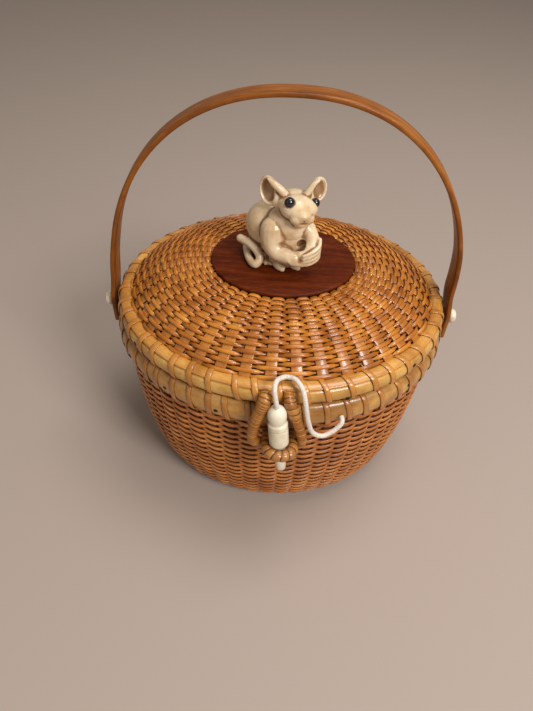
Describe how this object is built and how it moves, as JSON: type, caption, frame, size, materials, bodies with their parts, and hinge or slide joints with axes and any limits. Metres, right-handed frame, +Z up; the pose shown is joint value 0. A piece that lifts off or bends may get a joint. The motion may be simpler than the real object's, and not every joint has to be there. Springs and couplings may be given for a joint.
{
  "type": "nantucket basket",
  "caption": "Oval lidded basket of cane woven over staves, with a swinging bow handle, a carved mouse on the lid and a wound loop and peg latch on a cord.",
  "frame": {"origin": "middle of the base's flat underside", "axes": "+Z up; -Y is the front with the latch; +X is to the right as seen from the front, along the oval's length"},
  "size_m": [0.2292, 0.203, 0.2565],
  "materials": {
    "base_wood": "satin varnish",
    "woven_cane": "aged varnished cane",
    "rim_cane": "varnished, pale",
    "lid_cane": "varnished cane",
    "plate_wood": "polished dark wood",
    "handle_wood": "oiled wood",
    "ivory": "polished cream with brown wash",
    "eye_gloss": "high gloss black",
    "pin_metal": "dull, dark",
    "wrapped_cane": "varnished cane binding",
    "cord_cotton": "braided, matt"
  },
  "bodies": {
    "basket": {"base_plate": "base_wood", "basket_wall": "woven_cane", "body_rim_outer": "rim_cane", "body_rim_inner": "rim_cane", "staple_ring": "wrapped_cane", "hinge_loop_left": "wrapped_cane", "hinge_loop_right": "wrapped_cane", "pivot_pin_left": "pin_metal", "pivot_pin_right": "pin_metal", "pivot_washer_left": "pin_metal", "pivot_washer_right": "pin_metal", "pivot_knob_left": "ivory", "pivot_knob_right": "ivory", "latch_cord": "cord_cotton"},
    "lid": {"lid_shell": "lid_cane", "lid_rim_outer": "rim_cane", "lid_rim_inner": "rim_cane", "lid_plate": "plate_wood", "mouse_carving": "ivory", "mouse_eye_left": "eye_gloss", "mouse_eye_right": "eye_gloss", "mouse_dowel": "handle_wood"},
    "handle": {"handle_bow": "handle_wood"},
    "hasp": {"hasp_loop": "wrapped_cane"},
    "peg": {"latch_peg": "ivory"}
  },
  "joints": [
    {"name": "lid_open", "type": "hinge", "parent": "basket", "child": "lid", "pos_m": [0, 0.09, 0.1235], "axis": [-1, 0, 0], "range_deg": [0, 8], "deforming": ["hinge_loop_left", "hinge_loop_right", "hasp_loop", "latch_cord"]},
    {"name": "handle_swing", "type": "hinge", "parent": "basket", "child": "handle", "pos_m": [0, 0, 0.1187], "axis": [1, 0, 0], "range_deg": [-90, 90]},
    {"name": "hasp_swing", "type": "hinge", "parent": "lid", "child": "hasp", "pos_m": [-0.0006, -0.0862, 0.1319], "axis": [-1, 0, 0], "range_deg": [0, 110], "deforming": ["hasp_loop"]},
    {"name": "peg_lift", "type": "slide", "parent": "basket", "child": "peg", "axis": [-0.102, 0.1765, 0.979], "range_m": [0, 0.025], "deforming": ["latch_cord"]}
  ]
}
